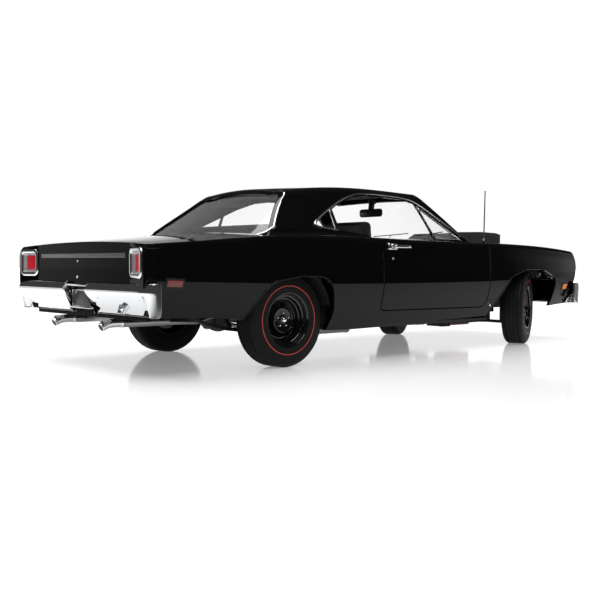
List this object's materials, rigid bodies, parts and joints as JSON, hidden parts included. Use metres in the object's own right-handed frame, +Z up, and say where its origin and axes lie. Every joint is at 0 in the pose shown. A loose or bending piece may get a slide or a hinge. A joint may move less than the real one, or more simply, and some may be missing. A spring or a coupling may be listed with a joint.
{
  "type": "scale model muscle car",
  "caption": "Two-door hardtop muscle car as a 1:18 die-cast scale model, with opening doors, hood and trunk, steered front wheels and free-rolling wheels.",
  "frame": {"origin": "on the ground under the middle of the model's length and width", "axes": "+Z up, -Y towards the nose, +X towards the model's left side"},
  "size_m": [0.1078, 0.286, 0.0787],
  "materials": {
    "body_paint": "gloss black enamel",
    "glass": "clear moulded screen",
    "chrome": "bright vacuum plating",
    "tyre": "soft black tyre",
    "wheel_paint": "gloss black steel wheel",
    "interior": "moulded black interior",
    "seat_vinyl": "moulded black seats",
    "underbody": "satin black underbody",
    "bare_metal": "satin silver",
    "engine_paint": "orange-red engine enamel",
    "scoop_paint": "satin dark grey",
    "amber_lens": "amber lens",
    "red_lens": "red lens",
    "lamp_glass": "clear lamp lens over a bright bowl",
    "plate_blank": "blank plate"
  },
  "bodies": {
    "body": {"roof": "body_paint", "fender_left": "body_paint", "fender_right": "body_paint", "quarter_left": "body_paint", "quarter_right": "body_paint", "rocker_left": "body_paint", "rocker_right": "body_paint", "cowl": "body_paint", "deck_panel": "body_paint", "nose_panel": "body_paint", "tail_panel": "body_paint", "windshield": "glass", "rear_window": "glass", "front_bumper": "chrome", "rear_bumper": "chrome", "tail_lamp_bezels": "chrome", "aerial": "chrome", "cabin_floor": "interior", "parcel_shelf": "interior", "trim_panels": "interior", "dashboard": "interior", "steering_wheel": "interior", "inside_mirror": "interior", "front_seats": "seat_vinyl", "rear_seat": "seat_vinyl", "chassis": "underbody", "wheelhouses": "underbody", "front_suspension": "underbody", "rear_axle": "underbody", "leaf_springs": "underbody", "door_hinges": "underbody", "radiator": "underbody", "grille": "underbody", "driveshaft": "bare_metal", "exhaust": "bare_metal", "fuel_tank": "bare_metal", "engine": "engine_paint", "air_cleaner": "scoop_paint", "front_markers": "amber_lens", "rear_markers": "red_lens", "tail_lamp_lenses": "red_lens", "headlamps": "lamp_glass", "licence_plate": "plate_blank"},
    "door_left": {"door_left": "body_paint", "vent_window_left": "glass"},
    "door_right": {"door_right": "body_paint", "vent_window_right": "glass"},
    "hood": {"hood": "body_paint", "hood_scoop": "scoop_paint"},
    "trunk_lid": {"trunk_lid": "body_paint"},
    "knuckle_left": {"knuckle_left": "underbody"},
    "knuckle_right": {"knuckle_right": "underbody"},
    "wheel_front_left": {"wheel_front_left": "wheel_paint", "tyre_front_left": "tyre"},
    "wheel_front_right": {"wheel_front_right": "wheel_paint", "tyre_front_right": "tyre"},
    "wheel_rear_left": {"wheel_rear_left": "wheel_paint", "tyre_rear_left": "tyre"},
    "wheel_rear_right": {"wheel_rear_right": "wheel_paint", "tyre_rear_right": "tyre"}
  },
  "joints": [
    {"name": "door_left_hinge", "type": "hinge", "parent": "body", "child": "door_left", "pos_m": [0.0521, -0.0504, 0.039], "axis": [0, 0, -1], "range_deg": [0, 60]},
    {"name": "door_right_hinge", "type": "hinge", "parent": "body", "child": "door_right", "pos_m": [-0.0521, -0.0504, 0.039], "axis": [0, 0, 1], "range_deg": [0, 60]},
    {"name": "hood_hinge", "type": "hinge", "parent": "body", "child": "hood", "pos_m": [0, -0.06335, 0.05408], "axis": [-1, 0, 0], "range_deg": [0, 50]},
    {"name": "trunk_hinge", "type": "hinge", "parent": "body", "child": "trunk_lid", "pos_m": [0, 0.09095, 0.05371], "axis": [1, 0, 0], "range_deg": [0, 50]},
    {"name": "steering_left", "type": "hinge", "parent": "body", "child": "knuckle_left", "pos_m": [0.0344, -0.0908, 0.0192], "axis": [0, 0, 1], "range_deg": [-55, 5]},
    {"name": "steering_right", "type": "hinge", "parent": "body", "child": "knuckle_right", "pos_m": [-0.0344, -0.0908, 0.0192], "axis": [0, 0, 1], "range_deg": [-55, 5]},
    {"name": "spin_front_left", "type": "hinge", "parent": "knuckle_left", "child": "wheel_front_left", "pos_m": [0.04129, -0.08759, 0.0192], "axis": [0.9063, 0.4226, 0], "continuous": true},
    {"name": "spin_front_right", "type": "hinge", "parent": "knuckle_right", "child": "wheel_front_right", "pos_m": [-0.04129, -0.09401, 0.0192], "axis": [0.9063, 0.4226, 0], "continuous": true},
    {"name": "spin_rear_left", "type": "hinge", "parent": "body", "child": "wheel_rear_left", "pos_m": [0.042, 0.0729, 0.0192], "axis": [1, 0, 0], "continuous": true},
    {"name": "spin_rear_right", "type": "hinge", "parent": "body", "child": "wheel_rear_right", "pos_m": [-0.042, 0.0729, 0.0192], "axis": [1, 0, 0], "continuous": true}
  ],
  "couplings": [
    {"joint": "steering_right", "follows": "steering_left", "ratio": 1}
  ]
}
